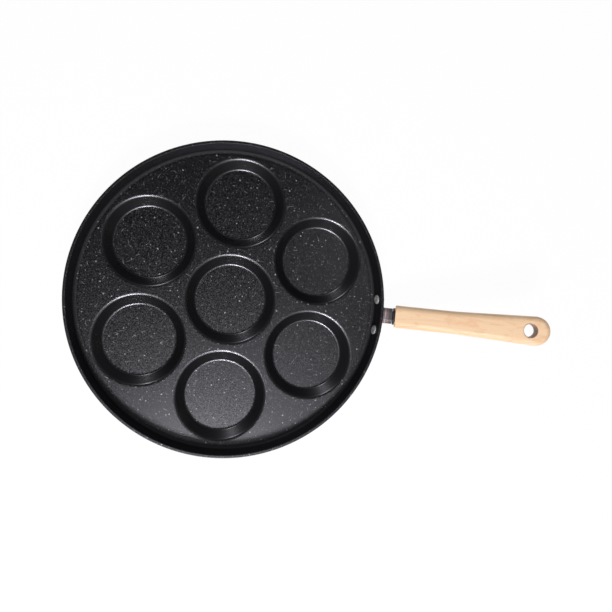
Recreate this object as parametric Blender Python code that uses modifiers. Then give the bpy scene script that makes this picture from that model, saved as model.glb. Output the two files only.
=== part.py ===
"""A round seven-cup frying pan with a riveted steel bracket and a wooden grip.

Metres, +Z up. The origin is the pan's axis on the plane that the undersides of the cups
rest on, and the handle points along +X.
"""

import math

import bmesh
import bpy
from mathutils import Matrix, Vector

# Pressed pan: one sheet, with round cups sunk into a flat land inside a leaning wall
SHEET = 0.0025
CUP_COUNT = 6  # cups in the ring round the middle one
CUP_RADIUS = 0.0368  # where the cup's wall would meet the land in a sharp corner
CUP_INSET = 0.0066  # how far the foot of the cup's wall lies inside its mouth
CUP_DEPTH = 0.0085
CUP_EDGE_ROUND = 0.002  # round between land and cup, seen from above
CUP_UNDER_ROUND = 0.0008  # the same round, seen from below
CUP_FLOOR_ROUND = 0.0035
CUP_LAND = 0.0047  # flat land left between two neighbouring cups
RIM_LAND = 0.0026  # flat land left between an outer cup and the wall's round
WALL_ROUND = 0.003
WALL_RISE = 0.0145  # height of the lip above the land
WALL_LEAN = 0.0025  # how far the wall leans out over that height
LIP_ROUND = 0.0006

# Rivets through the wall
RIVET_SPACING = 0.0267
RIVET_SHANK_RADIUS = 0.002
RIVET_HEAD_RADIUS = 0.004
RIVET_HEAD_HEIGHT = 0.0017
RIVET_TAIL_RADIUS = 0.0033
RIVET_TAIL_HEIGHT = 0.0012

# Steel bracket: a curved flange on the wall, a channel neck and a flat tang
BRACKET_SHEET = 0.0015
FLANGE_SIDE = 0.0065  # flange beyond each rivet's centre
FLANGE_ABOVE = 0.0038  # flange above the rivets' centres, low enough to hide behind the lip
FLANGE_BELOW = 0.005
FLANGE_CORNER = 0.003
NECK_WIDTH = 0.0135
NECK_HEIGHT = 0.009
NECK_CORNER = 0.004
TANG_WIDTH = 0.009
TANG_LENGTH = 0.058  # inside the grip
TANG_CORNER = 0.002
HANDLE_RISE = math.radians(16.5)
HANDLE_REACH = 0.0135  # along the handle, from the wall to the grip's near end

# Heat washer between the neck and the grip
WASHER_THICKNESS = 0.0018
WASHER_OVERHANG = 0.0005  # beyond the neck, all round
WASHER_CORNER = 0.0045

# Wooden grip, with its hanging hole
GRIP_LENGTH = 0.1309
GRIP_WIDTH = 0.0193  # of the straight part
GRIP_STRAIGHT = 0.051
GRIP_END_RADIUS = 0.0124
GRIP_THICKNESS = 0.015
GRIP_ROUND = 0.005
HOLE_RADIUS = 0.0056
HOLE_FROM_END = 0.01725
HOLE_CHAMFER = 0.0008

# Wood screws that hold the tang, driven from underneath
SCREW_SHANK_RADIUS = 0.0015
SCREW_HEAD_RADIUS = 0.003
SCREW_HEAD_HEIGHT = 0.002
SCREW_SUNK = 0.0005  # head's top below the grip's underside
SCREW_PAST_TANG = 0.0035
SCREW_POINT = 0.0015
SCREW_SLOT_ARM = 0.0018
SCREW_SLOT_WIDTH = 0.0009
SCREW_SLOT_DEPTH = 0.0011
SCREW_FROM_TANG_END = 0.009
SCREW_FROM_WASHER = 0.016

# Clearance between touching pieces, and how far cutters overshoot
GAP = 0.0003
OVERSHOOT = 0.002
MERGE = 0.00001

# Facets
RIM_SEGMENTS = 72
CUP_SEGMENTS = 32
SMALL_SEGMENTS = 20
FILLET_STEPS = 3
GRIP_END_STEPS = 14
SHARP_ANGLE = math.radians(38)

# Heights and leans that follow from the dimensions
LAND_Z = SHEET + CUP_DEPTH
LIP_Z = LAND_Z + WALL_RISE
CUP_LEAN = math.atan(CUP_INSET / CUP_DEPTH)
WALL_ANGLE = math.atan(WALL_LEAN / WALL_RISE)


def under_shift(lean):
    """How far out a corner of the underskin lies from the same corner of the top skin."""
    return SHEET * (1 - math.sin(lean)) / math.cos(lean)


def corner_reach(lean, radius):
    """Distance along the flat from a sharp corner to where its round begins."""
    return radius * math.tan((math.pi / 2 - lean) / 2)


CUP_EDGE_RADIUS = max(
    CUP_RADIUS + corner_reach(CUP_LEAN, CUP_EDGE_ROUND),
    CUP_RADIUS + under_shift(CUP_LEAN) + corner_reach(CUP_LEAN, CUP_UNDER_ROUND),
)
CUP_SPACING = 2 * CUP_EDGE_RADIUS + CUP_LAND
CUP_PITCH_RADIUS = max(CUP_SPACING, CUP_SPACING / (2 * math.sin(math.pi / CUP_COUNT)))
WALL_FOOT_RADIUS = CUP_PITCH_RADIUS + CUP_EDGE_RADIUS + RIM_LAND + corner_reach(WALL_ANGLE, WALL_ROUND)

# The rivets' heads sit as low as the straight part of the wall lets them
RIVET_Z = LAND_Z + WALL_ROUND * (1 - math.sin(WALL_ANGLE)) + RIVET_HEAD_RADIUS
RIVET_SEAT_RADIUS = WALL_FOOT_RADIUS + (RIVET_Z - LAND_Z) * math.tan(WALL_ANGLE)
RIVET_ANGLE = math.asin(RIVET_SPACING / 2 / RIVET_SEAT_RADIUS)
NECK_END = HANDLE_REACH - 2 * GAP - WASHER_THICKNESS


def wall_radius(z, outwards):
    """Radius of the wall's inner face at a height, moved outwards square to the face."""
    return WALL_FOOT_RADIUS + (z - LAND_Z) * math.tan(WALL_ANGLE) + outwards / math.cos(WALL_ANGLE)


# Handle frame: X along the grip, Y across it, Z up through it, from the wall's outer face
HANDLE_FRAME = Matrix.Translation((wall_radius(RIVET_Z, SHEET), 0, RIVET_Z)) @ Matrix.Rotation(
    -HANDLE_RISE, 4, "Y"
)
# Turns an outline drawn in XY so that it is extruded along the handle
ACROSS = Matrix(((0, 0, 1, 0), (1, 0, 0, 0), (0, 1, 0, 0), (0, 0, 0, 1)))
SCREW_PLACES = (HANDLE_REACH + SCREW_FROM_WASHER, HANDLE_REACH + TANG_LENGTH - SCREW_FROM_TANG_END)


def rounded(corners, steps=FILLET_STEPS):
    """A path through corners (x, y, radius), each replaced by an arc tangent to its two legs."""
    path = []
    for number, (x, y, radius) in enumerate(corners):
        corner = Vector((x, y))
        if not radius:
            path.append(corner)
            continue
        before = (Vector(corners[number - 1][:2]) - corner).normalized()
        after = (Vector(corners[(number + 1) % len(corners)][:2]) - corner).normalized()
        half = before.angle(after) / 2
        centre = corner + (before + after).normalized() * radius / math.sin(half)
        start = corner + before * radius / math.tan(half) - centre
        end = corner + after * radius / math.tan(half) - centre
        sweep = math.atan2(start.cross(end), start.dot(end))
        path += [centre + Matrix.Rotation(sweep * i / steps, 2) @ start for i in range(steps + 1)]
    return path


def circle(radius, steps, centre=(0.0, 0.0)):
    """Points round a circle, starting at +X."""
    turns = [2 * math.pi * i / steps for i in range(steps)]
    return [Vector((centre[0] + radius * math.cos(a), centre[1] + radius * math.sin(a))) for a in turns]


def rectangle(low, high, radius):
    """A rounded rectangle between two opposite corners, anticlockwise."""
    (x0, y0), (x1, y1) = low, high
    return rounded([(x0, y0, radius), (x1, y0, radius), (x1, y1, radius), (x0, y1, radius)])


def evaluated_mesh(data, modify=None):
    """The mesh that a curve or a modified mesh makes, with its doubled vertices merged."""
    maker = bpy.data.objects.new("maker", data)
    bpy.context.scene.collection.objects.link(maker)
    if modify:
        modify(maker)
    mesh = bpy.data.meshes.new_from_object(maker.evaluated_get(bpy.context.evaluated_depsgraph_get()))
    bpy.data.objects.remove(maker)
    joined = bmesh.new()
    joined.from_mesh(mesh)
    bmesh.ops.remove_doubles(joined, verts=joined.verts, dist=MERGE)
    joined.to_mesh(mesh)
    joined.free()
    return mesh


def turned(profile, steps, closed=False):
    """A surface of revolution about Z. A solid's profile runs from its top down its outer side."""
    count = len(profile)
    edges = [(i, i + 1) for i in range(count - 1)] + ([(count - 1, 0)] if closed else [])
    outline = bpy.data.meshes.new("profile")
    outline.from_pydata([(x, 0.0, z) for x, z in profile], edges, [])

    def turn(maker):
        screw = maker.modifiers.new("turn", "SCREW")
        screw.steps = steps
        screw.render_steps = steps
        screw.use_merge_vertices = True
        screw.merge_threshold = MERGE

    return evaluated_mesh(outline, turn)


def flat(outlines, thickness=0.0, edge_round=0.0):
    """A flat sheet between closed outlines, or a slab of a thickness, its edges rounded if asked."""
    curve = bpy.data.curves.new("outline", "CURVE")
    curve.dimensions = "2D"
    curve.fill_mode = "BOTH"
    curve.extrude = thickness / 2 - edge_round
    curve.bevel_depth = edge_round
    curve.bevel_resolution = FILLET_STEPS - 1
    curve.offset = -edge_round
    for outline in outlines:
        spline = curve.splines.new("POLY")
        spline.points.add(len(outline) - 1)
        for point, place in zip(spline.points, outline):
            point.co = (place[0], place[1], 0.0, 1.0)
        spline.use_cyclic_u = True
    return evaluated_mesh(curve)


def shade(mesh):
    mesh.shade_smooth()
    mesh.set_sharp_from_angle(angle=SHARP_ANGLE)


def add(name, mesh, collection, frame=None):
    """An object of a mesh, placed by a frame."""
    mesh.name = name
    shade(mesh)
    added = bpy.data.objects.new(name, mesh)
    added.matrix_world = frame or Matrix()
    collection.objects.link(added)
    return added


def cutter(name, mesh, frame=None):
    """A helper solid for a Boolean: it is part of the construction, not of the pan."""
    added = add(name, mesh, helpers, frame)
    added.display_type = "WIRE"
    added.hide_render = True
    return added


def combine(target, operation, other):
    boolean = target.modifiers.new(other.name, "BOOLEAN")
    boolean.operation = operation
    boolean.solver = "EXACT"
    boolean.object = other


def finish(target, colour, roughness, metallic):
    """Gives a piece its own material."""
    material = bpy.data.materials.new(target.name)
    material.use_nodes = True
    shader = material.node_tree.nodes["Principled BSDF"]
    shader.inputs["Base Color"].default_value = (*colour, 1.0)
    shader.inputs["Roughness"].default_value = roughness
    shader.inputs["Metallic"].default_value = metallic
    material.diffuse_color = (*colour, 1.0)
    target.data.materials.append(material)


def cup_skins():
    """Profiles of a cup from the middle of its floor to the land: top skin, then underskin."""
    skins = []
    for drop, shift, edge, floor in (
        (0.0, 0.0, CUP_EDGE_ROUND, CUP_FLOOR_ROUND),
        (SHEET, under_shift(CUP_LEAN), CUP_UNDER_ROUND, CUP_FLOOR_ROUND + SHEET),
    ):
        mouth = CUP_RADIUS + shift
        path = rounded(
            [
                (0.0, LAND_Z - CUP_DEPTH - drop, 0.0),
                (mouth - CUP_INSET, LAND_Z - CUP_DEPTH - drop, floor),
                (mouth, LAND_Z - drop, edge),
                (mouth + CUP_RADIUS, LAND_Z - drop, 0.0),
            ]
        )
        skins.append(path[:-1])
    return skins


def wall_skin():
    """Profile of the wall from the land's top, over the lip, to the land's underside."""
    path = rounded(
        [
            (0.0, LAND_Z, 0.0),
            (WALL_FOOT_RADIUS, LAND_Z, WALL_ROUND),
            (wall_radius(LIP_Z, 0.0), LIP_Z, LIP_ROUND),
            (wall_radius(LIP_Z, SHEET), LIP_Z, LIP_ROUND),
            (WALL_FOOT_RADIUS + under_shift(WALL_ANGLE), LAND_Z - SHEET, WALL_ROUND + SHEET),
            (0.0, LAND_Z - SHEET, 0.0),
        ]
    )
    return path[1:-1]


def cup_places():
    """Centres of the cups: one in the middle, the others in a ring that straddles the handle."""
    turns = [2 * math.pi * (i + 0.5) / CUP_COUNT for i in range(CUP_COUNT)]
    ring = [Vector((CUP_PITCH_RADIUS * math.cos(a), CUP_PITCH_RADIUS * math.sin(a))) for a in turns]
    return [Vector((0.0, 0.0)), *ring]


def rivet_frame(side):
    """Z along a rivet towards the inside of the pan, from the wall's inner face."""
    return (
        Matrix.Rotation(side * RIVET_ANGLE, 4, "Z")
        @ Matrix.Translation((RIVET_SEAT_RADIUS, 0.0, RIVET_Z))
        @ Matrix.Rotation(-math.pi / 2 + WALL_ANGLE, 4, "Y")
    )


def make_pan_body():
    """Pressed pan: both skins of the land, the cups and the wall, welded into one closed sheet."""
    wall = wall_skin()
    pieces = [(turned(wall, RIM_SEGMENTS), (0.0, 0.0, 0.0))]
    for skin, edge in zip(cup_skins(), (wall[0], wall[-1])):
        cup = turned(skin, CUP_SEGMENTS)
        pieces += [(cup, (*place, 0.0)) for place in cup_places()]
        mouths = [circle(skin[-1][0], CUP_SEGMENTS, place) for place in cup_places()]
        pieces.append((flat([circle(edge[0], RIM_SEGMENTS), *mouths]), (0.0, 0.0, edge[1])))
    sheet = bmesh.new()
    for mesh, place in pieces:
        moved = mesh.copy()
        moved.transform(Matrix.Translation(place))
        sheet.from_mesh(moved)
    bmesh.ops.remove_doubles(sheet, verts=sheet.verts, dist=MERGE)
    bmesh.ops.recalc_face_normals(sheet, faces=sheet.faces)
    mesh = bpy.data.meshes.new("pan_body")
    sheet.to_mesh(mesh)
    sheet.free()
    body = add("pan_body", mesh, parts)
    finish(body, (0.022, 0.022, 0.024), 0.42, 0.0)
    return body


def make_bracket():
    """Flange, neck and tang in one piece. The flange's back is trimmed to the pan's wall."""
    top = RIVET_Z + FLANGE_ABOVE
    bottom = RIVET_Z - FLANGE_BELOW
    above, below = LIP_Z + OVERSHOOT, bottom - OVERSHOOT
    outer, inner = SHEET + GAP + BRACKET_SHEET, SHEET - OVERSHOOT
    ring = [
        (wall_radius(above, outer), above),
        (wall_radius(below, outer), below),
        (wall_radius(below, inner), below),
        (wall_radius(above, inner), above),
    ]
    bracket = add("handle_bracket", turned(ring, RIM_SEGMENTS, closed=True), parts)

    half = RIVET_SPACING / 2 + FLANGE_SIDE
    outline = rectangle((-half, bottom), (half, top), FLANGE_CORNER)
    block = flat([outline], WALL_FOOT_RADIUS)
    combine(
        bracket,
        "INTERSECT",
        cutter("flange_outline", block, Matrix.Translation((WALL_FOOT_RADIUS, 0.0, 0.0)) @ ACROSS),
    )

    wide, high = NECK_WIDTH / 2, NECK_HEIGHT / 2
    back = -NECK_HEIGHT
    section = rounded(
        [(-wide, -high, 0.0), (wide, -high, 0.0), (wide, high, NECK_CORNER), (-wide, high, NECK_CORNER)]
    )
    neck = cutter(
        "neck",
        flat([section], NECK_END - back),
        HANDLE_FRAME @ Matrix.Translation(((NECK_END + back) / 2, 0.0, 0.0)) @ ACROSS,
    )
    inside, under = wide - BRACKET_SHEET, -high - OVERSHOOT
    corner = max(NECK_CORNER - BRACKET_SHEET, MERGE)
    ceiling = high - BRACKET_SHEET
    hollow = rounded(
        [(-inside, under, 0.0), (inside, under, 0.0), (inside, ceiling, corner), (-inside, ceiling, corner)]
    )
    front = NECK_END - BRACKET_SHEET
    channel = cutter(
        "neck_channel",
        flat([hollow], front - back + OVERSHOOT),
        HANDLE_FRAME @ Matrix.Translation(((front + back - OVERSHOOT) / 2, 0.0, 0.0)) @ ACROSS,
    )
    combine(neck, "DIFFERENCE", channel)
    combine(bracket, "UNION", neck)

    tang = rectangle(
        (NECK_END - BRACKET_SHEET / 2, -TANG_WIDTH / 2),
        (HANDLE_REACH + TANG_LENGTH, TANG_WIDTH / 2),
        TANG_CORNER,
    )
    combine(bracket, "UNION", cutter("tang", flat([tang], BRACKET_SHEET), HANDLE_FRAME))

    low, high_up = below - OVERSHOOT, above + OVERSHOOT
    room = [
        (0.0, high_up),
        (wall_radius(high_up, SHEET + GAP), high_up),
        (wall_radius(low, SHEET + GAP), low),
        (0.0, low),
    ]
    combine(bracket, "DIFFERENCE", cutter("wall_room", turned(room, RIM_SEGMENTS)))
    finish(bracket, (0.50, 0.47, 0.48), 0.28, 1.0)
    return bracket


def make_rivets(body, bracket):
    """Two domed rivets, and their holes through the wall and the flange."""
    head = GAP + RIVET_HEAD_HEIGHT
    seat = -(SHEET + GAP + BRACKET_SHEET + GAP)
    tail = seat - RIVET_TAIL_HEIGHT
    domes = []
    for radius, flat_side, peak in (
        (RIVET_HEAD_RADIUS, GAP, head),
        (RIVET_TAIL_RADIUS, seat, tail),
    ):
        steps = [math.pi / 2 * i / FILLET_STEPS for i in range(FILLET_STEPS + 1)]
        domes.append([(radius * math.sin(a), flat_side + (peak - flat_side) * math.cos(a)) for a in steps])
    stem = [(RIVET_SHANK_RADIUS, GAP), (RIVET_SHANK_RADIUS, seat)]
    profile = [*domes[0], *stem, *reversed(domes[1])]
    bore = RIVET_SHANK_RADIUS + GAP
    hole = [(0.0, OVERSHOOT), (bore, OVERSHOOT), (bore, seat - OVERSHOOT), (0.0, seat - OVERSHOOT)]
    for name, side in (("rivet_left", 1), ("rivet_right", -1)):
        frame = rivet_frame(side)
        rivet = add(name, turned(profile, SMALL_SEGMENTS), parts, frame)
        finish(rivet, (0.62, 0.62, 0.63), 0.35, 1.0)
        drill = cutter(name + "_hole", turned(hole, SMALL_SEGMENTS), frame)
        combine(body, "DIFFERENCE", drill)
        combine(bracket, "DIFFERENCE", drill)


def make_washer():
    """Black washer between the neck's end and the grip, slotted for the tang."""
    wide = NECK_WIDTH / 2 + WASHER_OVERHANG
    high = NECK_HEIGHT / 2 + WASHER_OVERHANG
    slot_wide = TANG_WIDTH / 2 + GAP
    slot_high = BRACKET_SHEET / 2 + GAP
    plate = flat(
        [
            rectangle((-wide, -high), (wide, high), WASHER_CORNER),
            rectangle((-slot_wide, -slot_high), (slot_wide, slot_high), GAP),
        ],
        WASHER_THICKNESS,
    )
    middle = NECK_END + GAP + WASHER_THICKNESS / 2
    washer = add("heat_washer", plate, parts, HANDLE_FRAME @ Matrix.Translation((middle, 0, 0)) @ ACROSS)
    finish(washer, (0.012, 0.012, 0.012), 0.6, 0.0)


def make_grip():
    """Wooden grip: straight, then widening to a round end, with a mortise and a hanging hole."""
    near = HANDLE_REACH
    end_centre = near + GRIP_LENGTH - GRIP_END_RADIUS
    bend = near + GRIP_STRAIGHT
    half = GRIP_WIDTH / 2
    # Slope of the straight edge that runs from the bend to a tangent point on the end's circle
    run = math.hypot(end_centre - bend, half)
    edge_angle = math.asin(GRIP_END_RADIUS / run) - math.asin(half / run)
    first = math.pi / 2 + edge_angle
    turns = [first - 2 * first * i / GRIP_END_STEPS for i in range(GRIP_END_STEPS + 1)]
    end = [(end_centre + GRIP_END_RADIUS * math.cos(a), GRIP_END_RADIUS * math.sin(a)) for a in turns]
    start = near - GRIP_ROUND - OVERSHOOT
    outline = [(start, -half), (start, half), (bend, half), *end, (bend, -half)]
    grip = add("handle_grip", flat([outline[::-1]], GRIP_THICKNESS, GRIP_ROUND), parts, HANDLE_FRAME)

    side = GRIP_WIDTH + GRIP_THICKNESS
    block = flat([rectangle((start - side, -side), (near, side), 0.0)], side)
    combine(grip, "DIFFERENCE", cutter("grip_near_end", block, HANDLE_FRAME))

    slot_wide = TANG_WIDTH / 2 + GAP
    slot_end = near + TANG_LENGTH + GAP
    slot = rectangle((near - OVERSHOOT - TANG_CORNER, -slot_wide), (slot_end, slot_wide), TANG_CORNER)
    combine(grip, "DIFFERENCE", cutter("mortise", flat([slot], BRACKET_SHEET + 2 * GAP), HANDLE_FRAME))

    face = GRIP_THICKNESS / 2
    flare = HOLE_RADIUS + HOLE_CHAMFER + OVERSHOOT
    bore = [
        (0.0, face + OVERSHOOT),
        (flare, face + OVERSHOOT),
        (HOLE_RADIUS, face - HOLE_CHAMFER),
        (HOLE_RADIUS, HOLE_CHAMFER - face),
        (flare, -face - OVERSHOOT),
        (0.0, -face - OVERSHOOT),
    ]
    place = Matrix.Translation((near + GRIP_LENGTH - HOLE_FROM_END, 0.0, 0.0))
    combine(grip, "DIFFERENCE", cutter("hanging_hole", turned(bore, CUP_SEGMENTS), HANDLE_FRAME @ place))
    finish(grip, (0.80, 0.57, 0.36), 0.5, 0.0)
    return grip


def make_screws(bracket, grip):
    """Two cross-slotted wood screws from the grip's underside through the tang, with their holes."""
    face = GRIP_THICKNESS / 2
    head_top = -SCREW_SUNK
    head_under = head_top - SCREW_HEAD_HEIGHT
    tip = -(face + BRACKET_SHEET / 2 + SCREW_PAST_TANG)
    crown = rounded(
        [
            (0.0, head_top, 0.0),
            (SCREW_HEAD_RADIUS, head_top, SCREW_HEAD_HEIGHT / 2),
            (SCREW_HEAD_RADIUS, head_under, 0.0),
        ]
    )
    stem = [(SCREW_SHANK_RADIUS, head_under), (SCREW_SHANK_RADIUS, tip + SCREW_POINT), (0.0, tip)]
    profile = [*crown, *stem]
    wide, bore = SCREW_HEAD_RADIUS + GAP, SCREW_SHANK_RADIUS + GAP
    seat = head_under - GAP
    hole = [
        (0.0, OVERSHOOT),
        (wide, OVERSHOOT),
        (wide, seat),
        (bore, seat),
        (bore, tip - GAP),
        (0.0, tip - GAP),
    ]
    slot = flat(
        [rectangle((-SCREW_SLOT_ARM, -SCREW_SLOT_WIDTH / 2), (SCREW_SLOT_ARM, SCREW_SLOT_WIDTH / 2), 0.0)],
        2 * SCREW_SLOT_DEPTH,
    )
    for name, place in zip(("tang_screw_front", "tang_screw_rear"), SCREW_PLACES):
        frame = HANDLE_FRAME @ Matrix.Translation((place, 0.0, -face)) @ Matrix.Rotation(math.pi, 4, "X")
        screw = add(name, turned(profile, SMALL_SEGMENTS), parts, frame)
        finish(screw, (0.55, 0.55, 0.56), 0.32, 1.0)
        for label, turn in (("_slot", 0.0), ("_cross_slot", math.pi / 2)):
            across = Matrix.Translation((0.0, 0.0, head_top)) @ Matrix.Rotation(turn, 4, "Z")
            combine(screw, "DIFFERENCE", cutter(name + label, slot.copy(), frame @ across))
        drill = cutter(name + "_hole", turned(hole, SMALL_SEGMENTS), frame)
        combine(grip, "DIFFERENCE", drill)
        combine(bracket, "DIFFERENCE", drill)


for old in list(bpy.data.objects):
    bpy.data.objects.remove(old)
parts = bpy.data.collections.new("multi_section_egg_pan")
helpers = bpy.data.collections.new("multi_section_egg_pan_cutters")
bpy.context.scene.collection.children.link(parts)
bpy.context.scene.collection.children.link(helpers)

pan_body = make_pan_body()
handle_bracket = make_bracket()
make_rivets(pan_body, handle_bracket)
make_washer()
handle_grip = make_grip()
make_screws(handle_bracket, handle_grip)
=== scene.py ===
import math

import bmesh
import bpy
import numpy as np
from mathutils import Matrix, Vector


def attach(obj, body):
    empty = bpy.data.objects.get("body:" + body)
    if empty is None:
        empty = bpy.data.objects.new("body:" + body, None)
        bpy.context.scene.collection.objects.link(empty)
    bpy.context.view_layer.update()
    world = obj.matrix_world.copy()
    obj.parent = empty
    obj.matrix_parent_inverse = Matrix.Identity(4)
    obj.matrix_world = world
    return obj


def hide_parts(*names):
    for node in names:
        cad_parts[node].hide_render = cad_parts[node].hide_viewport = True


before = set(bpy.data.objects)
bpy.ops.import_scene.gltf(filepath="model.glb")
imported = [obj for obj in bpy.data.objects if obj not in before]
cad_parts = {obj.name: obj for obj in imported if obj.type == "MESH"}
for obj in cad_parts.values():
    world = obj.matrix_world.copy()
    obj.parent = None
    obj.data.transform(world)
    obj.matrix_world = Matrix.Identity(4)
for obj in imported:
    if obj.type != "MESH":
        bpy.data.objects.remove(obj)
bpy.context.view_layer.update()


# Camera, at the photograph's angle

view = {
    "place": (-0.01457, -0.00028, 0.50574),
    "direction": (0.18627, 0.01714, -0.98235),
    "up": (-0.10537, 0.99443, -0.00263),
    "lens": 34.13,  # mm, on a sensor 36 mm wide
    "shift": (-0.02872, -0.0108),
}

cameraData = bpy.data.cameras.new("camera")
cameraData.sensor_width = 36
cameraData.lens = view["lens"]
cameraData.shift_x, cameraData.shift_y = view["shift"]
cameraData.clip_start = 0.02
camera = bpy.data.objects.new("camera", cameraData)
bpy.context.scene.collection.objects.link(camera)
forward = Vector(view["direction"]).normalized()
sideways = forward.cross(Vector(view["up"])).normalized()
upward = sideways.cross(forward)
turn = np.eye(4)
turn[:3] = np.stack([sideways, upward, -forward, view["place"]], axis=1)
camera.matrix_world = Matrix(turn.tolist())
bpy.context.scene.camera = camera
print("camera placed")


# Surfaces: every piece is made of grids of points, worked out as whole arrays

def roundedPath(corners, arcSteps, support=0.0):
    # A path through corners (x, y, radius). Each corner with a radius becomes an arc that touches both
    # legs: its centre lies on the bisector, radius / sin(half angle) away. A support point stands a
    # little way along each leg, so that what is flat also shades flat.
    places = np.array([corner[:2] for corner in corners], float)
    path = []
    for number, (x, y, radius) in enumerate(corners):
        if not radius:
            path.append(places[number:number + 1])
            continue
        before = places[number - 1] - places[number]
        after = places[(number + 1) % len(corners)] - places[number]
        before, after = before / np.linalg.norm(before), after / np.linalg.norm(after)
        half = math.acos(np.clip(before @ after, -1, 1)) / 2
        leg = radius / math.tan(half)
        bisector = (before + after) / np.linalg.norm(before + after)
        centre = places[number] + bisector * radius / math.sin(half)
        first = places[number] + before * leg - centre
        last = places[number] + after * leg - centre
        sweep = math.atan2(first[0] * last[1] - first[1] * last[0], first @ last)
        angles = np.linspace(0, sweep, arcSteps + 1)
        arc = centre + np.stack([
            first[0] * np.cos(angles) - first[1] * np.sin(angles),
            first[0] * np.sin(angles) + first[1] * np.cos(angles),
        ], axis=1)
        if support:
            arc = np.concatenate([[arc[0] + before * support], arc, [arc[-1] + after * support]])
        path.append(arc)
    return np.concatenate(path)


def walked(path):
    # Share of the path's length that lies behind each of its points, from 0 to 1
    length = np.concatenate([[0], np.cumsum(np.linalg.norm(np.diff(path, axis=0), axis=1))])
    return length / length[-1]


def evenly(path, count):
    # The path in even steps of its length
    stops = np.linspace(0, 1, count)
    return np.stack([np.interp(stops, walked(path), path[:, axis]) for axis in (0, 1)], axis=1)


def roundedRectangle(wide, high, radius, count, inset=0.0):
    # Closed outline with half sizes wide and high, moved in by inset. Its points stand at even steps
    # of the outline before it was moved in, so that loops with different insets line up
    full, moved = (
        roundedPath([(-a, -b, r), (a, -b, r), (a, b, r), (-a, b, r)], 10)
        for a, b, r in ((wide, high, radius), (wide - inset, high - inset, max(radius - inset, 1e-5)))
    )
    full, moved = np.concatenate([full, full[:1]]), np.concatenate([moved, moved[:1]])
    stops = np.linspace(0, 1, count, endpoint=False)
    return np.stack([np.interp(stops, walked(full), moved[:, axis]) for axis in (0, 1)], axis=1)


def edgeArc(radius, steps):
    # Quarter round at the edge of a plate: how far in and how far down from the face, step by step
    angles = np.linspace(0, math.pi / 2, steps + 1)
    return np.stack([radius * (1 - np.sin(angles)), radius * (1 - np.cos(angles))], axis=1)


def revolved(profile, angles):
    # Profile points (radius, height) carried round the Z axis: x = r cos a, y = r sin a
    radius, height = profile[:, :1], profile[:, 1:]
    return np.stack([radius * np.cos(angles), radius * np.sin(angles), height + 0 * angles], axis=2)


def gridFaces(rows, columns, wraps, start):
    # The four corner numbers of each quad between neighbouring rows and columns
    starts = columns if wraps else columns - 1
    row, column = np.meshgrid(np.arange(rows - 1), np.arange(starts), indexing="ij")
    after = (column + 1) % columns
    near, far = row * columns + start, (row + 1) * columns + start
    return np.stack([near + column, near + after, far + after, far + column], axis=2).reshape(-1, 4)


def makePiece(name, grids, sharpAngle=50, merge=2e-6):
    # One mesh of (grid of points, whether its columns close) pairs, with its seams and poles merged
    points, faces, start = [], [], 0
    for grid, wraps in grids:
        rows, columns = grid.shape[:2]
        points.append(grid.reshape(-1, 3))
        faces.append(gridFaces(rows, columns, wraps, start))
        start += rows * columns
    mesh = bpy.data.meshes.new(name)
    mesh.from_pydata(np.concatenate(points), [], np.concatenate(faces))
    work = bmesh.new()
    work.from_mesh(mesh)
    bmesh.ops.remove_doubles(work, verts=work.verts, dist=merge)
    bmesh.ops.recalc_face_normals(work, faces=work.faces)
    openEdges = sum(len(edge.link_faces) != 2 for edge in work.edges)
    work.to_mesh(mesh)
    work.free()
    mesh.shade_smooth()
    mesh.set_sharp_from_angle(angle=math.radians(sharpAngle))
    piece = bpy.data.objects.new(name, mesh)
    bpy.context.scene.collection.objects.link(piece)
    triangles = sum(len(face.vertices) - 2 for face in mesh.polygons)
    print("made", name, triangles, "triangles,", openEdges, "open edges")
    return piece


def install(piece, slot, material, *nodes):
    # The piece rides on the pan, stands for its CAD nodes and takes its material
    piece.data.materials.append(material)
    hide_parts(*nodes)
    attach(piece, "root")


# Shader signals: maths on them is written as plain expressions

class Signal:
    def __init__(self, paint, socket):
        self.paint = paint
        self.socket = socket

    def maths(self, operation, *values):
        return self.paint.node("ShaderNodeMath", {"operation": operation}, dict(enumerate(values)))

    def __add__(self, other):
        return self.maths("ADD", self, other)

    def __sub__(self, other):
        return self.maths("SUBTRACT", self, other)

    def __rsub__(self, other):
        return self.maths("SUBTRACT", other, self)

    def __mul__(self, other):
        return self.maths("MULTIPLY", self, other)

    def __pow__(self, other):
        return self.maths("POWER", self, other)

    def __gt__(self, other):
        return self.maths("GREATER_THAN", self, other)

    def larger(self, other):
        return self.maths("MAXIMUM", self, other)

    def ramp(self, low, high, start=0.0, end=1.0):
        # Smooth step from start to end as the signal goes from low to high
        return self.paint.node(
            "ShaderNodeMapRange",
            {"interpolation_type": "SMOOTHSTEP"},
            {"Value": self, "From Min": low, "From Max": high, "To Min": start, "To Max": end},
        )


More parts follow.
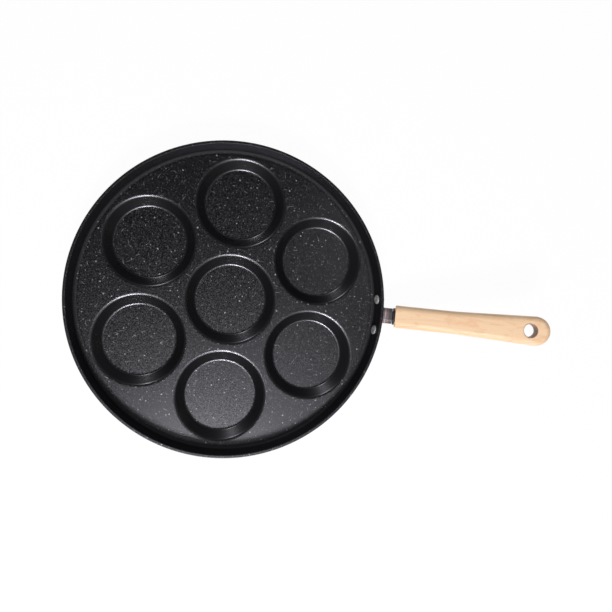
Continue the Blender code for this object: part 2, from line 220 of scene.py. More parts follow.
class Paint:
    # Builds nodes in a tree: a new material's with a Principled shader, or one that is handed in
    def __init__(self, name, tree=None):
        self.tree = tree
        if not tree:
            self.material = bpy.data.materials.new(name)
            self.material.use_nodes = True
            self.tree = self.material.node_tree
            self.shader = self.tree.nodes["Principled BSDF"]

    def node(self, kind, settings=None, sockets=None, output=None):
        # Adds a node of a type: its settings first, then the values or links of its sockets
        made = self.tree.nodes.new(kind)
        for name, value in (settings or {}).items():
            setattr(made, name, value)
        self.connect(made, sockets or {})
        if output is not None:
            return Signal(self, made.outputs[output])
        return Signal(self, next(socket for socket in made.outputs if socket.enabled))

    def connect(self, target, sockets):
        for name, value in sockets.items():
            socket = target.inputs[name]
            if isinstance(value, Signal):
                self.tree.links.new(value.socket, socket)
            elif socket.type == "RGBA":
                socket.default_value = (*value, 1.0)
            else:
                socket.default_value = value

    def shade(self, **sockets):
        # Sets sockets of the Principled shader, named without their spaces
        names = {socket.name.replace(" ", ""): socket.name for socket in self.shader.inputs}
        named = {names[name[0].upper() + name[1:]]: value for name, value in sockets.items()}
        self.connect(self.shader, named)

    def turned(self, place, rotation, stretch, centre=(0, 0, 0)):
        # Coordinates from centre, turned by rotation, then divided by stretch
        return self.node(
            "ShaderNodeMapping",
            {"vector_type": "TEXTURE"},
            {"Vector": place, "Location": centre, "Rotation": rotation, "Scale": stretch},
        )

    def coordinates(self, turnAboutY=0.0, stretch=(1, 1, 1), centre=(0, 0, 0)):
        # Object coordinates in millimetres from centre, turned about Y, then divided by stretch
        place = self.node("ShaderNodeTexCoord", output="Object")
        return self.turned(place, (0, turnAboutY, 0), [part / 1000 for part in stretch], centre)

    def noise(self, place, size, detail=2.0, roughness=0.5, distortion=0.0):
        # Cloudy noise whose features are about size millimetres across
        sockets = {"Vector": place, "Scale": 1 / size, "Detail": detail}
        return self.node(
            "ShaderNodeTexNoise", {}, {**sockets, "Roughness": roughness, "Distortion": distortion}
        )

    def spots(self, place, size, output="Distance"):
        # One point in each cell of about size millimetres, in the plane: distance to it in cells, or a
        # colour drawn for it
        sockets = {"Vector": place, "Scale": 1 / size}
        return self.node("ShaderNodeTexVoronoi", {"voronoi_dimensions": "2D"}, sockets, output)

    def mix(self, factor, one, other):
        return self.node("ShaderNodeMix", {"data_type": "RGBA"}, {0: factor, 6: one, 7: other})

    def moved(self, place, offset, amount):
        # Coordinates pushed about by a colour or vector signal
        push = self.node("ShaderNodeVectorMath", {"operation": "SCALE"}, {0: offset, "Scale": amount})
        return self.node("ShaderNodeVectorMath", {"operation": "ADD"}, {0: place, 1: push})

    def fromAxis(self, turnAboutY=0.0, centre=(0, 0, 0)):
        # Distance in millimetres from the Z axis through centre, turned about Y
        place = self.coordinates(turnAboutY, (1, 1, 1e9), centre)
        return self.node("ShaderNodeVectorMath", {"operation": "LENGTH"}, {0: place}, "Value")

    def channel(self, colour, name):
        return self.node("ShaderNodeSeparateColor", {}, {"Color": colour}, name)

    def axis(self, place, name):
        return self.node("ShaderNodeSeparateXYZ", {}, {0: place}, name)

    def attribute(self, name):
        return self.node("ShaderNodeAttribute", {"attribute_name": name}, {}, "Fac")

    def bump(self, height, distance):
        # Height runs from 0 to 1 over distance metres
        return self.node("ShaderNodeBump", {}, {"Height": height, "Distance": distance})


# Pan: one pressed sheet. Each cup with its share of the land is a cell, and the wall goes round them

pan = {
    "sheet": 0.0025,
    "cups": 6,  # in the ring round the middle one
    "cupSpacing": 0.081532,  # between the middles of neighbouring cups
    "cupRadius": 0.0372,  # of the mouth, measured to the sharp corner
    "cupInset": 0.0074,  # how far the foot of the cup's wall lies inside its mouth
    "cupDepth": 0.0085,
    "mouthRound": 0.0037,
    "mouthRoundUnder": 0.0008,
    "floorRound": 0.0027,
    "wallFoot": 0.125064,  # radius of the sharp corner between land and wall
    "wallRound": 0.0030,
    "underRound": 0.0055,  # the same corner on the underside
    "wallRise": 0.0145,
    "wallLean": 0.0025,
    "lipRound": 0.0006,
    "arcSteps": 8,
    "sharedRays": 44,  # rays of a cell that reach a neighbouring cup of the ring
    "innerRays": 32,  # rays of a cell that reach the middle cup
    "wallRays": 74,  # rays of a cell that reach the wall
    "support": 0.00025,
}

landHeight = pan["sheet"] + pan["cupDepth"]
lipHeight = landHeight + pan["wallRise"]
cupSlope = math.atan(pan["cupDepth"] / pan["cupInset"])  # from the flat
wallSlope = math.atan(pan["wallRise"] / pan["wallLean"])
ringRadius = pan["cupSpacing"] / (2 * math.sin(math.pi / pan["cups"]))


def skinShift(slope):
    # How far out a corner of the underskin lies from the same corner of the top skin
    return pan["sheet"] * (1 - math.cos(slope)) / math.sin(slope)


def wallRadius(height, outwards):
    # Radius of the wall's inner face at a height, moved outwards square to the face
    inner = pan["wallFoot"] + (height - landHeight) / math.tan(wallSlope)
    return inner + outwards / math.sin(wallSlope)


def cupProfile(drop, shift, mouthRound, floorRound):
    # From the middle of the floor along the cup's wall to the land, as (radius, height)
    mouth = pan["cupRadius"] + shift
    floor = landHeight - pan["cupDepth"] - drop
    path = roundedPath(
        [
            (0.0, floor, 0.0),
            (mouth - pan["cupInset"], floor, floorRound),
            (mouth, landHeight - drop, mouthRound),
            (2 * mouth, landHeight - drop, 0.0),
        ],
        pan["arcSteps"],
        pan["support"],
    )
    floorRows = np.stack([np.linspace(0, path[1, 0], 6)[:-1], np.full(5, floor)], axis=1)
    return np.concatenate([floorRows, path[1:-1]])


def wallProfile():
    # From the land's top up the wall, over the lip and down to the land's underside
    return roundedPath(
        [
            (0.0, landHeight, 0.0),
            (pan["wallFoot"], landHeight, pan["wallRound"]),
            (wallRadius(lipHeight, 0.0), lipHeight, pan["lipRound"]),
            (wallRadius(lipHeight, pan["sheet"]), lipHeight, pan["lipRound"]),
            (pan["wallFoot"] + skinShift(wallSlope), landHeight - pan["sheet"], pan["underRound"]),
            (0.0, landHeight - pan["sheet"], 0.0),
        ],
        pan["arcSteps"],
        pan["support"],
    )[2:-2]


def cellRays(outerRadius):
    # Directions of an outer cell's rays from its cup's middle, and how far each goes to the cell's
    # edge: to the wall's circle at even steps about the pan's axis, then to the lines halfway to the
    # neighbours, where reach = half spacing / cos(angle from the neighbour)
    share = math.pi / pan["cups"]
    about = np.linspace(-share, share, pan["wallRays"] + 1)
    reachX, reachY = outerRadius * np.cos(about) - ringRadius, outerRadius * np.sin(about)
    wallAngles, wallReach = np.arctan2(reachY, reachX), np.hypot(reachX, reachY)
    last, corner = wallAngles[-1], math.pi - share
    sideAngles = np.linspace(last, corner, pan["sharedRays"] + 1)[1:]
    sideReach = pan["cupSpacing"] / 2 / np.cos(sideAngles - (corner - share))
    innerAngles = np.linspace(corner, corner + 2 * share, pan["innerRays"] + 1)[1:]
    innerReach = pan["cupSpacing"] / 2 / np.cos(innerAngles - math.pi)
    otherAngles, otherReach = 2 * math.pi - sideAngles[-2::-1], sideReach[-2::-1]
    angles = np.concatenate([wallAngles, sideAngles, innerAngles, otherAngles])
    return angles, np.concatenate([wallReach, sideReach, innerReach, otherReach])


def cell(profile, centre, angles, reach, shares=(0.25, 0.6, 1.0)):
    # A cup and the flat round it: profile points stand on each ray, then rows share out the rest
    # of the way to the cell's edge. x = cx + r cos a, y = cy + r sin a
    edge = profile[-1, 0]
    radius = np.concatenate([profile[:, :1] + 0 * angles, edge + np.outer(shares, reach - edge)])
    height = np.concatenate([profile[:, 1], np.full(len(shares), profile[-1, 1])])[:, None] + 0 * angles
    x, y = centre[0] + radius * np.cos(angles), centre[1] + radius * np.sin(angles)
    return np.stack([x, y, height], axis=2)


def panGrids():
    wall = wallProfile()
    above = cupProfile(0.0, 0.0, pan["mouthRound"], pan["floorRound"])
    below = cupProfile(
        pan["sheet"], skinShift(cupSlope), pan["mouthRoundUnder"], pan["floorRound"] + pan["sheet"]
    )
    share = math.pi / pan["cups"]
    inner = np.linspace(-share, share, pan["innerRays"] + 1)[:-1]
    middle = np.concatenate([inner + share + 2 * share * number for number in range(pan["cups"])])
    middleReach = np.tile(pan["cupSpacing"] / 2 / np.cos(inner), pan["cups"])
    grids = []
    for profile, outerRadius in ((above, wall[0, 0]), (below, wall[-1, 0])):
        angles, reach = cellRays(outerRadius)
        grids.append((cell(profile, (0, 0), middle, middleReach), True))
        for number in range(pan["cups"]):
            swing = share + 2 * share * number
            centre = (ringRadius * math.cos(swing), ringRadius * math.sin(swing))
            grids.append((cell(profile, centre, angles + swing, reach), True))
    about = np.arange(pan["cups"] * pan["wallRays"]) * 2 * share / pan["wallRays"]
    return grids + [(revolved(wall, about), True)]


# Coating: satin black with pale specks and a few short fibres on what is flat

coating = {
    "black": (0.0003, 0.0003, 0.0004),
    "grey": (0.0090, 0.0090, 0.0102),  # of the fine grain
    "greyFrom": (0.42, 0.68),  # range of the mottle that goes from black to grey
    "speck": (0.30, 0.30, 0.315),
    "tint": (0.91, 0.91, 1.0),  # of its reflections
    "roughness": (0.285, 0.445),
    "roughFrom": (0.38, 0.62),  # range of the mottle that goes from low to high roughness
    "flatFrom": (0.90, 0.99),  # height of the normal, from steep to flat
    "cupWall": -0.05,  # added to the roughness where the cups are steep
    "footRoughness": 0.73,
    "wallRoughness": 0.50,
    "wallMetallic": 0.50,  # less of a sheen where the coating is thin
    # painted light: the wall's colour is raised here so that its shaded inner face reads lighter
    "wallGrey": 0.08,  # added to the mottle at the wall
    "thinning": (119.8, 123.0),  # mm from the pan's axis, like the next two
    "atWall": (122.0, 123.4),
    "onFace": (124.6, 125.4),
    "mottleSize": 1.1,  # mm, as all sizes here but the bump's
    "grainSize": 0.35,
    "bump": 0.00005,
    "wobble": 0.8,  # of the marks' outlines, in waves per mm
    # One mark stands in each cell, but for the bare share of them, and fades over its edge
    "specks": {
        "cell": 5.2,
        "radius": (0.40, 0.40),  # spread and least
        "edge": 0.34,
        "bare": 0.42,
        "bright": (1.1, 2.4, 0.16),  # spread, power of the draw and least
    },
    "dots": {"cell": 1.9, "radius": 0.58, "edge": 0.38, "bright": (0.30, 3.0)},
    "fibres": {
        "cell": 7.5,
        "angles": (15, 62, 108, 155),  # degrees
        "stretch": (3.4, 0.50, 1),
        "radius": 0.75,
        "edge": 0.40,
        "bare": 0.83,
        "bright": 0.44,
    },
}


def speckles(paint, place):
    # Brightness of the marks: round specks, fine dots and short fibres, drawn by chance
    specks, dots, fibres = coating["specks"], coating["dots"], coating["fibres"]
    push = paint.node("ShaderNodeTexNoise", {}, {"Vector": place, "Scale": coating["wobble"]}, "Color")
    wobble = paint.moved(place, push, 1.0)

    size = specks["cell"]
    drawn = paint.spots(wobble, size, "Color")
    spread, least = specks["radius"]
    radius = paint.channel(drawn, "Green") * spread + least
    spread, power, least = specks["bright"]
    brightness = paint.channel(drawn, "Blue") ** power * spread + least
    spot = (radius - paint.spots(wobble, size) * size).ramp(0.0, specks["edge"])
    spot = spot * (paint.channel(drawn, "Red") > specks["bare"])

    size = dots["cell"]
    drawn = paint.spots(wobble, size, "Color")
    most, power = dots["bright"]
    fine = (dots["radius"] - paint.spots(wobble, size) * size).ramp(0.0, dots["edge"])
    fine = fine * paint.channel(drawn, "Red") ** power * most

    size = fibres["cell"]
    threads = 0.0
    for angle in fibres["angles"]:
        stretched = paint.turned(wobble, (0, 0, math.radians(angle)), fibres["stretch"])
        drawn = paint.channel(paint.spots(stretched, size, "Color"), "Green")
        thread = (fibres["radius"] - paint.spots(stretched, size) * size).ramp(0.0, fibres["edge"])
        threads = thread * drawn.ramp(fibres["bare"], 1.0) * fibres["bright"] + threads
    return (spot * brightness).larger(fine).larger(threads)


def panCoating():
    paint = Paint("panCoating")
    place = paint.coordinates()
    flat = paint.attribute("flat")
    marks = speckles(paint, place) * flat
    mottle = (paint.noise(place, coating["mottleSize"], 2.0, 0.6) - 0.5) * flat + 0.5
    fromAxis = paint.fromAxis()
    atWall = fromAxis.ramp(*coating["atWall"])
    # painted light: towards the wall the colour goes lighter, to lift the wall's shaded face
    grey = (mottle + atWall * coating["wallGrey"]).ramp(*coating["greyFrom"])
    ground = paint.mix(grey, coating["black"], coating["grey"])

    grain = paint.noise(place, coating["grainSize"], 2.0)
    roughness = mottle.ramp(*coating["roughFrom"], *coating["roughness"])
    roughness = roughness + (1 - flat) * coating["cupWall"]
    roughness = roughness + (coating["footRoughness"] - roughness) * atWall
    smoother = coating["wallRoughness"] - coating["footRoughness"]
    roughness = fromAxis.ramp(*coating["onFace"], 0.0, smoother) + roughness
    paint.shade(
        baseColor=paint.mix(marks, ground, coating["speck"]),
        roughness=roughness,
        metallic=fromAxis.ramp(*coating["thinning"]) * coating["wallMetallic"],
        normal=paint.bump(grain * 0.3 + mottle, coating["bump"]),
        iOR=1.6,
        specularIORLevel=0.79,
        specularTint=coating["tint"],
    )
    return paint.material


panBody = makePiece("panBody", panGrids())
normals = np.zeros(len(panBody.data.vertices) * 3)
panBody.data.vertex_normals.foreach_get("vector", normals)
flatness = np.interp(normals[2::3], coating["flatFrom"], (0, 1))
panBody.data.attributes.new("flat", "FLOAT", "POINT").data.foreach_set("value", flatness)
install(panBody, "speckled_coating", panCoating(), "pan_body")


# Handle frame: x along the handle, y across it, z up through it, from the wall's outer face

handle = {
    "rise": 16.5,  # degrees
    "reach": 0.0135,  # from the wall to the grip's near end
    "gap": 0.0003,
}
rivet = {
    "spacing": 0.0267,
    "height": 0.017487,  # of the heads' middles
    "shank": 0.0020,
    "head": 0.0040,
    "headHeight": 0.0017,
    "dish": 0.0016,  # radius of the hollow in the head's middle
    "dishDepth": 0.0007,
    "tail": 0.0033,
    "tailHeight": 0.0012,
    "fullness": 0.8,  # of the domes: 1 is an ellipse, and less is flatter on top
}

handleStart = np.array([wallRadius(rivet["height"], pan["sheet"]), 0, rivet["height"]])
rise = math.radians(handle["rise"])
alongX, alongZ = math.cos(rise), math.sin(rise)
handleAxes = np.array([[alongX, 0, alongZ], [0, 1, 0], [-alongZ, 0, alongX]])


def onHandle(along, across, through):
    # Points given in the handle's frame: start + along * X + across * Y + through * Z
    along, across, through = np.broadcast_arrays(along, across, through)
    return handleStart + np.stack([along, across, through], axis=-1) @ handleAxes


# Grip: rows across it, each from the middle line or the hole's edge to the outline and over its edge

grip = {
    "length": 0.13065,
    "width": 0.0193,  # of the straight part
    "straight": 0.051,
    "bend": 0.003,  # length over which the straight part passes into the flare
    "endRadius": 0.0124,
    "thickness": 0.01486,
    "edgeRound": 0.0050,
    "nearRound": 0.0007,
    "holeRadius": 0.0056,
    "holeFromEnd": 0.0170,
    "holeRound": 0.0010,
    "shaftRows": 60,
    "holeRows": 56,
    "edgeSteps": 9,
}


def gripGrids():
    near, half, endRadius = handle["reach"], grip["width"] / 2, grip["endRadius"]
    bend = near + grip["straight"]
    endCentre = near + grip["length"] - endRadius
    holeCentre = near + grip["length"] - grip["holeFromEnd"]
    rim = grip["holeRadius"] + grip["holeRound"]
    run = math.hypot(endCentre - bend, half)
    flare = math.asin(endRadius / run) - math.asin(half / run)  # slope that touches the end's circle
    first = math.pi / 2 + flare
    touch = endCentre + endRadius * math.cos(first)

    def side(along):
        # Half width: half + slope * w * log(1 + exp((along - bend) / w)), and the direction outwards
        offset = (along - bend) / grip["bend"]
        slope = math.tan(flare) / (1 + np.exp(-offset))
        across = half + math.tan(flare) * grip["bend"] * np.logaddexp(0, offset)
        return np.stack([along, across], axis=-1), np.stack([-slope, 1 + 0 * slope], axis=-1)

    # Shaft rows stand square to the middle line
    shaft = np.linspace(near + grip["nearRound"], holeCentre - rim, grip["shaftRows"])
    shaft = np.insert(shaft, 1, shaft[0] + 0.0003)
    shaftOuter, shaftNormal = side(shaft)
    shaftInner = np.stack([shaft, 0 * shaft], axis=1)

    # Rows round the hole go from its edge to the outline, both walked evenly
    part = np.linspace(0, 1, grip["holeRows"] + 1)[1:]
    straightLeft = touch - shaft[-1]
    onWay = part * (straightLeft + endRadius * first)
    angle = first - np.clip(onWay - straightLeft, 0, None) / endRadius
    circleNormal = np.stack([np.cos(angle), np.sin(angle)], axis=1)
    straightPoint, straightNormal = side(shaft[-1] + np.minimum(onWay, straightLeft))
    onCircle = (onWay > straightLeft)[:, None]
    endOuter = np.where(onCircle, np.array([endCentre, 0]) + endRadius * circleNormal, straightPoint)
    endNormal = np.where(onCircle, circleNormal, straightNormal)
    about = math.pi * (1 - part)
    endInner = np.stack([holeCentre + rim * np.cos(about), rim * np.sin(about)], axis=1)
    endInner[-1, 1], endOuter[-1, 1] = 0.0, 0.0

    inner = np.concatenate([shaftInner, endInner])
    outer = np.concatenate([shaftOuter, endOuter])
    normal = np.concatenate([shaftNormal, endNormal])
    normal = normal / np.linalg.norm(normal, axis=1, keepdims=True)

    # Columns go over the top face, round the edge and back over the bottom face
    face = grip["thickness"] / 2
    arc = edgeArc(grip["edgeRound"], grip["edgeSteps"])
    flatEdge = outer - normal * grip["edgeRound"]
    shares = np.array([0.0, 0.03, 0.2, 0.5, 0.8, 0.97])
    top = inner[:, None] + shares[None, :, None] * (flatEdge - inner)[:, None]
    edge = outer[:, None] - normal[:, None] * arc[None, :, :1]
    planar = np.concatenate([top, edge, edge[:, ::-1], top[:, ::-1]], axis=1)
    heights = np.concatenate([np.full(len(shares), face), face - arc[:, 1]])
    heights = np.concatenate([heights, -heights[::-1]])

    # Near end: the first section rounds over the edge, then shrinks to a point on the middle line
    lean = np.linspace(0, math.pi / 2, 6)
    pulled = grip["nearRound"] * (1 - np.cos(lean))
    backed = near + grip["nearRound"] * (1 - np.sin(lean))
    capAlong = np.concatenate([backed, [near, near, near]])[:, None]
    capAcross = np.concatenate([1 - pulled / half, [0.85, 0.5, 0.0]])[:, None]
    capThrough = np.concatenate([1 - pulled / face, [0.85, 0.5, 0.0]])[:, None]
    grids = []
    for mirror in (1, -1):
        across = mirror * planar[:, :, 1]
        grids.append((onHandle(planar[:, :, 0], across, heights), False))
        grids.append((onHandle(capAlong, across[0] * capAcross, heights * capThrough), False))

    # Hole: a small round at each rim and a straight bore
    rimArc = edgeArc(grip["holeRound"], 5)
    boreRadius = np.concatenate([rimArc[:, 0], rimArc[::-1, 0]])[:, None] + grip["holeRadius"]
    boreHeight = np.concatenate([face - rimArc[:, 1], rimArc[::-1, 1] - face])[:, None]
    full = np.concatenate([[math.pi], about, -about[-2::-1]])
    bore = onHandle(holeCentre + boreRadius * np.cos(full), boreRadius * np.sin(full), boreHeight)
    return grids + [(bore, True)]


wood = {
    "pale": (0.83, 0.58, 0.375),
    "tan": (0.64, 0.39, 0.21),
    "pink": (0.74, 0.44, 0.25),
    "pore": (0.46, 0.25, 0.12),
    # painted shade: the hole's bore is darkened in colour near its wall
    "bore": (0.22, 0.115, 0.06),
    "boreFrom": (6.3, 5.8),  # mm from the hole's axis
    "roughness": (0.44, 0.58),
    "bump": 0.00004,
    "streaks": (38, 1.3, 1.3),  # mm along the grip, across and through it, like the next three
    "bands": (90, 5.0, 4.0),
    "patches": (17, 6, 6),
    "flecks": (2.6, 0.30, 0.30),
}


def beech():
    paint = Paint("beech")
    start = tuple(handleStart)

    def figure(name, *settings):
        # Noise with a mark's own size in each direction
        return paint.noise(paint.coordinates(-rise, wood[name], start), 1.0, *settings)

    streaks = figure("streaks", 3.0, 0.6, 0.3)
    bands = figure("bands", 2.0, 0.5, 0.4)
    patches = figure("patches", 3.0, 0.55, 1.2)
    flecks = figure("flecks", 2.0)
    tone = streaks.ramp(0.42, 0.74) * 0.22 + bands.ramp(0.46, 0.70) * 0.34
    colour = paint.mix(tone, wood["pale"], wood["tan"])
    colour = paint.mix(patches.ramp(0.48, 0.66) * 0.60, colour, wood["pink"])
    colour = paint.mix(flecks.ramp(0.58, 0.74) * 0.18, colour, wood["pore"])
    holeCentre = onHandle(handle["reach"] + grip["length"] - grip["holeFromEnd"], 0, 0)
    # painted shade in the hole's bore
    boreShade = paint.fromAxis(-rise, tuple(holeCentre)).ramp(*wood["boreFrom"])
    colour = paint.mix(boreShade * 0.85, colour, wood["bore"])
    paint.shade(
        baseColor=colour,
        roughness=streaks.ramp(0.3, 0.7, *wood["roughness"]),
        normal=paint.bump(flecks * -0.6 + streaks * 0.5, wood["bump"]),
    )
    return paint.material


handleGrip = makePiece("handleGrip", gripGrids())
install(handleGrip, "beech_wood", beech(), "handle_grip")


# Bracket: a flange that follows the wall, an open channel for a neck, and a tang inside the grip

bracket = {
    "sheet": 0.0015,
    "flangeSide": 0.0065,  # beyond each rivet's middle
    "flangeAbove": 0.0038,
    "flangeBelow": 0.0050,
    "flangeCorner": 0.0030,
    "neckWidth": 0.0135,
    "neckHeight": 0.0090,
    "neckCorner": 0.0040,
    "tangWidth": 0.0090,
    "tangLength": 0.058,
    "tangCorner": 0.0020,
    "edge": 0.00035,
    "weld": 0.0012,  # round where the neck's sides leave the flange
    "sunk": 0.0003,  # how far the neck's ends lie inside the flange and the end plate
    "narrower": 0.00002,  # the end plate's outline than the neck's
    "crowding": 1.6,  # of the neck's rows towards the flange
}
washer = {
    "thickness": 0.0018,
    "overhang": 0.0005,
    "corner": 0.0045,
    "edge": 0.0004,
    "slotCorner": 0.0003,
    "black": (0.010, 0.010, 0.010),
    "worn": (0.028, 0.026, 0.024),
}


def plate(wide, high, corner, thick, place, count=96):
    # A plate with rounded edges: loops of its outline shrink to the middle of each face.
    # place turns arrays (across, up, depth) into points
    loops = [(scale, bracket["edge"], 0.0) for scale in (0.0, 0.25, 0.5, 0.75, 0.93)]
    loops += [(1.0, inset, down) for inset, down in edgeArc(bracket["edge"], 4)]
    loops += [(scale, inset, thick - down) for scale, inset, down in loops[::-1]]
    rows = []
    for scale, inset, depth in loops:
        loop = roundedRectangle(wide, high, corner, count, inset) * scale
        rows.append(place(loop[:, 0], loop[:, 1], depth))
    return np.stack(rows), True


def neckGrids(neckEnd):
    # An upside-down U carried along the handle from the flange to the end plate
    sheet, weld, sunk, edge = bracket["sheet"], bracket["weld"], bracket["sunk"], bracket["edge"]
    wide, high, corner = bracket["neckWidth"] / 2, bracket["neckHeight"] / 2, bracket["neckCorner"]
    inside = wide - sheet
    lean = rise + math.pi / 2 - wallSlope  # of the flange, seen along the handle

    def carried(halfPath):
        # Its sides spread into the flange in a quarter round: w - sqrt(w^2 - (w - distance)^2)
        path = roundedPath(halfPath + [(-x, y, radius) for x, y, radius in halfPath[::-1]], 10)
        across, through = evenly(path, 72).T
        start = (handle["gap"] + sunk + through * math.sin(lean)) / math.cos(lean)
        share = np.linspace(0, 1, 30)[:, None] ** bracket["crowding"]
        along = start + share * (neckEnd - edge - sunk - start)
        distance = np.clip((along - start) * math.cos(lean) + sunk - sheet, 0, weld)
        spread = weld - np.sqrt(weld ** 2 - (weld - distance) ** 2)
        outwards = np.clip((np.abs(across) - inside) / sheet, 0, 1) * np.sign(across)
        return onHandle(along, across + spread * outwards, through)

    outer = carried([(inside, -high, 0.0), (wide, -high, edge), (wide, high, corner)])
    inner = carried([(inside, -high, 0.0), (inside, high - sheet, corner - sheet)])
    rims = [np.stack([outer[row], inner[row]]) for row in (0, -1)]
    return [(grid, False) for grid in (outer, inner, *rims)]


def bracketGrids():
    sheet, gap, narrower = bracket["sheet"], handle["gap"], bracket["narrower"]
    top, bottom = rivet["height"] + bracket["flangeAbove"], rivet["height"] - bracket["flangeBelow"]

    def onWall(across, up, depth):
        # Square to the wall at a height: x follows the cone's circle, x = sqrt(r^2 - y^2)
        height = (top + bottom) / 2 + up
        radius = wallRadius(height, pan["sheet"] + gap + sheet - depth)
        return np.stack([np.sqrt(radius ** 2 - across ** 2), across, height], axis=1)

    neckEnd = handle["reach"] - 2 * gap - washer["thickness"]
    tangStart, tangEnd = neckEnd - sheet / 2, handle["reach"] + bracket["tangLength"]

    def endPlate(across, up, depth):
        return onHandle(neckEnd - depth, across, up)

    def tangPlate(along, across, depth):
        return onHandle((tangStart + tangEnd) / 2 + along, across, sheet / 2 - depth)

    half = rivet["spacing"] / 2 + bracket["flangeSide"]
    wide, high = bracket["neckWidth"] / 2 - narrower, bracket["neckHeight"] / 2 - narrower
    tangHalf = (tangEnd - tangStart) / 2
    return [
        plate(half, (top - bottom) / 2, bracket["flangeCorner"], sheet, onWall, 160),
        *neckGrids(neckEnd),
        plate(wide, high, bracket["neckCorner"], sheet, endPlate),
        plate(tangHalf, bracket["tangWidth"] / 2, bracket["tangCorner"], sheet, tangPlate),
    ]


# Washer between the neck and the wood

def washerGrids():
    # Loops go from the slot's wall over the front face, round the edge and over the back face
    wide = bracket["neckWidth"] / 2 + washer["overhang"]
    high = bracket["neckHeight"] / 2 + washer["overhang"]
    slotWide = bracket["tangWidth"] / 2 + handle["gap"]
    slotHigh = bracket["sheet"] / 2 + handle["gap"]
    front = handle["reach"] - handle["gap"] - washer["thickness"]
    slot = roundedRectangle(slotWide, slotHigh, washer["slotCorner"], 96)
    outline = roundedRectangle(wide, high, washer["corner"], 96)
    rows = [(slot, 0.0), (slot * 0.97 + outline * 0.03, 0.0)]
    for inset, down in edgeArc(washer["edge"], 4):
        rows.append((roundedRectangle(wide, high, washer["corner"], 96, inset), down))
    rows += [(loop, washer["thickness"] - down) for loop, down in rows[::-1]] + rows[:1]
    return [(np.stack([onHandle(front + down, loop[:, 0], loop[:, 1]) for loop, down in rows]), True)]


# Rivets through the wall and the flange: a dished dome inside the pan, a plain one outside

def rivetGrids(mirror):
    # Flattened domes and a straight shank carried round the rivet's axis, then laid in the wall
    gap = handle["gap"]
    seat = -(pan["sheet"] + gap + bracket["sheet"] + gap)
    steps = np.linspace(0, math.pi / 2, 17)

    def dome(radius, flatSide, height):
        # Radius goes with the sine of the angle, height with its cosine to the power of fullness
        raised = height * np.cos(steps) ** rivet["fullness"]
        return np.stack([radius * np.sin(steps), flatSide + raised], axis=1)

    head = dome(rivet["head"], gap, rivet["headHeight"])
    head[:, 1] -= rivet["dishDepth"] * np.exp(-((head[:, 0] / rivet["dish"]) ** 2))
    tail = dome(rivet["tail"], seat, -rivet["tailHeight"])
    profile = np.concatenate([head, [(rivet["shank"], gap), (rivet["shank"], seat)], tail[::-1]])
    local = revolved(profile, np.linspace(0, 2 * math.pi, 48, endpoint=False))
    seatRadius = wallRadius(rivet["height"], 0.0)
    swing = mirror * math.asin(rivet["spacing"] / 2 / seatRadius)
    upAlong = (math.cos(wallSlope), 0, math.sin(wallSlope))
    inward = (-math.sin(wallSlope), 0, math.cos(wallSlope))
    placed = np.array([seatRadius, 0, rivet["height"]]) + local @ np.array([upAlong, (0, 1, 0), inward])
    cosine, sine = math.cos(swing), math.sin(swing)
    turnZ = np.array([[cosine, sine, 0], [-sine, cosine, 0], [0, 0, 1]])
    return [(placed @ turnZ, True)]


# Metal and plastic finishes

metal = {
    # painted reflection: this dark grey stands in for the dark surroundings that the polished neck
    # mirrors
    "bracket": (0.078, 0.070, 0.078),
    "tint": (0.20, 0.135, 0.14),  # painted reflection: a brownish band on the neck by the weld
    "tintFrom": (8.7, 8.0),  # mm along the handle
    # painted highlight: a bright line across the neck, put into its colour
    "bright": (0.40, 0.36, 0.37),
    "brightAt": 5.5,  # mm along the handle
    "brightFrom": (0.45, 0.10),  # square of the distance from there
    "rivet": (0.30, 0.30, 0.305),
    "screw": (0.55, 0.55, 0.56),
    "dull": (0.07, 0.065, 0.068),
}


def steel(name, colour, grainSize, roughness, metallic, stainSize=3.0, tinted=False):
    # Drawn grain and stains. The bracket also has painted reflections in its colour: a bright line and
    # a brownish band by the weld
    paint = Paint(name)
    place = paint.coordinates(-rise, (1, 1, 1), tuple(handleStart))
    grain = paint.noise(paint.coordinates(-rise, grainSize, tuple(handleStart)), 1.0, 3.0, 0.6)
    stains = paint.noise(place, stainSize, 2.0)
    if tinted:
        # painted reflections on the neck: a brownish band by the weld and a bright line across it
        along = paint.axis(paint.moved(place, stains, 0.8), "X")
        fromHighlight = along - metal["brightAt"]
        colour = paint.mix(along.ramp(*metal["tintFrom"]), colour, metal["tint"])
        colour = paint.mix((fromHighlight * fromHighlight).ramp(*metal["brightFrom"]), colour, metal["bright"])
    dulled = stains.ramp(0.45, 0.75) * 0.35 + grain.ramp(0.45, 0.8) * 0.3
    paint.shade(
        baseColor=paint.mix(dulled, colour, metal["dull"]),
        roughness=grain.ramp(0.3, 0.7, *roughness),
        metallic=metallic,
        normal=paint.bump(grain, 0.00001),
    )
    return paint.material


def blackPlastic():
    paint = Paint("blackPlastic")
    place = paint.coordinates()
    grain = paint.noise(place, 0.25, 2.0)
    wear = paint.noise(place, 3.0, 2.0)
    paint.shade(
        baseColor=paint.mix(wear.ramp(0.4, 0.8) * 0.5, washer["black"], washer["worn"]),
        roughness=grain.ramp(0.3, 0.7, 0.50, 0.66),
        normal=paint.bump(grain, 0.00002),
    )
    return paint.material


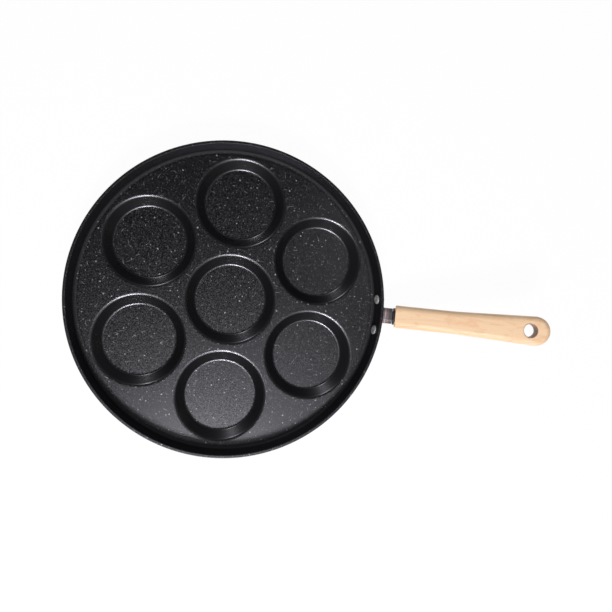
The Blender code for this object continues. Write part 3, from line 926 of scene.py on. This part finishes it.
bracketSteel = steel("bracketSteel", metal["bracket"], (14, 0.5, 0.5), (0.50, 0.64), 0.3, tinted=True)
install(makePiece("handleBracket", bracketGrids()), "bracket_steel", bracketSteel, "handle_bracket")
install(makePiece("heatWasher", washerGrids()), "washer_black", blackPlastic(), "heat_washer")
rivetMetal = steel("rivetMetal", metal["rivet"], (0.6, 0.6, 0.6), (0.34, 0.48), 0.15, 1.6)
for name, node, mirror in (("rivetLeft", "rivet_left", 1), ("rivetRight", "rivet_right", -1)):
    install(makePiece(name, rivetGrids(mirror)), "rivet_metal", rivetMetal, node)
screwSteel = steel("screwSteel", metal["screw"], (0.8, 0.8, 0.8), (0.28, 0.40), 1.0)
for node in ("tang_screw_front", "tang_screw_rear"):
    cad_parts[node].data.materials.clear()
    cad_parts[node].data.materials.append(screwSteel)
print("handle finished")


# Studio: pale floor, soft lamps, white background

studio = {
    "floorSize": 6.0,
    "floorHeight": -0.0001,  # so that it shares no plane with the undersides of the cups
    "floor": (0.90, 0.90, 0.90),
    "white": 0.97,  # share of the floor that shows as plain background
    "ambient": 0.25,
    # What a mirror sees by the height it looks to, from the floor's level to straight above
    "mirrored": ((0.0, 0.04), (0.3, 0.12), (0.6, 0.12), (0.85, 0.02), (1.0, 0.02)),
}
lamps = {
    "key": {"place": (-0.005, -0.680, 0.815), "size": 0.20, "power": 10.8},
    "near": {"place": (0.059, -0.168, 0.264), "size": 0.28, "power": 0.130},
    "top": {"place": (0.238, 0.145, 0.626), "size": 0.10, "power": 0.066},
    "back": {"place": (-1.841, 3.854, 1.485), "size": 0.25, "power": 32.5},
}


def studioFloor():
    size = studio["floorSize"] / 2
    x, y = np.meshgrid(np.linspace(-size, size, 13), np.linspace(-size, size, 13), indexing="ij")
    floor = bpy.data.meshes.new("floor")
    points = np.stack([x, y, 0 * x + studio["floorHeight"]], axis=2).reshape(-1, 3)
    floor.from_pydata(points, [], gridFaces(13, 13, False, 0)[:, ::-1])
    floorPiece = bpy.data.objects.new("floor", floor)
    bpy.context.scene.collection.objects.link(floorPiece)
    paint = Paint("floor")
    paint.shade(baseColor=studio["floor"], roughness=0.9)
    camera, mirror, through = (
        paint.node("ShaderNodeLightPath", output=name)
        for name in ("Is Camera Ray", "Is Glossy Ray", "Is Transmission Ray")
    )
    seen = camera.larger(mirror).larger(through) * studio["white"]
    glow = paint.node("ShaderNodeEmission", {}, {"Color": (1, 1, 1), "Strength": 1.0})
    lit = Signal(paint, paint.shader.outputs[0])
    both = paint.node("ShaderNodeMixShader", {}, {0: seen, 1: lit, 2: glow})
    paint.connect(paint.tree.nodes["Material Output"], {"Surface": both})
    floor.materials.append(paint.material)


def studioWorld():
    # White to the camera, an even pale grey as light, and lighter and darker zones in a mirror
    world = bpy.data.worlds.new("studio")
    world.use_nodes = True
    bpy.context.scene.world = world
    paint = Paint("studio", world.node_tree)
    up = paint.axis(paint.node("ShaderNodeTexCoord", output="Generated"), "Z")
    camera = paint.node("ShaderNodeLightPath", output="Is Camera Ray")
    mirror = paint.node("ShaderNodeLightPath", output="Is Glossy Ray")
    zones = 0.0
    for (low, lowLevel), (high, highLevel) in zip(studio["mirrored"], studio["mirrored"][1:]):
        zones = up.ramp(low, high, 0.0, highLevel - lowLevel) + zones
    zones = zones + studio["mirrored"][0][1]
    light = (1 - mirror) * studio["ambient"] + mirror * zones
    background = world.node_tree.nodes["Background"]
    paint.connect(background, {"Strength": (1 - camera) * light + camera, "Color": (1, 1, 1)})


def addLamp(name, lamp):
    # A square lamp that faces the pan's middle
    light = bpy.data.lights.new(name, "AREA")
    light.size = lamp["size"]
    light.energy = lamp["power"]
    made = bpy.data.objects.new(name, light)
    made.location = lamp["place"]
    made.rotation_euler = (-Vector(lamp["place"])).to_track_quat("-Z", "Y").to_euler()
    bpy.context.scene.collection.objects.link(made)


studioFloor()
studioWorld()
for name, lamp in lamps.items():
    addLamp(name, lamp)
bpy.context.scene.view_settings.view_transform = "Standard"
print("studio lit")
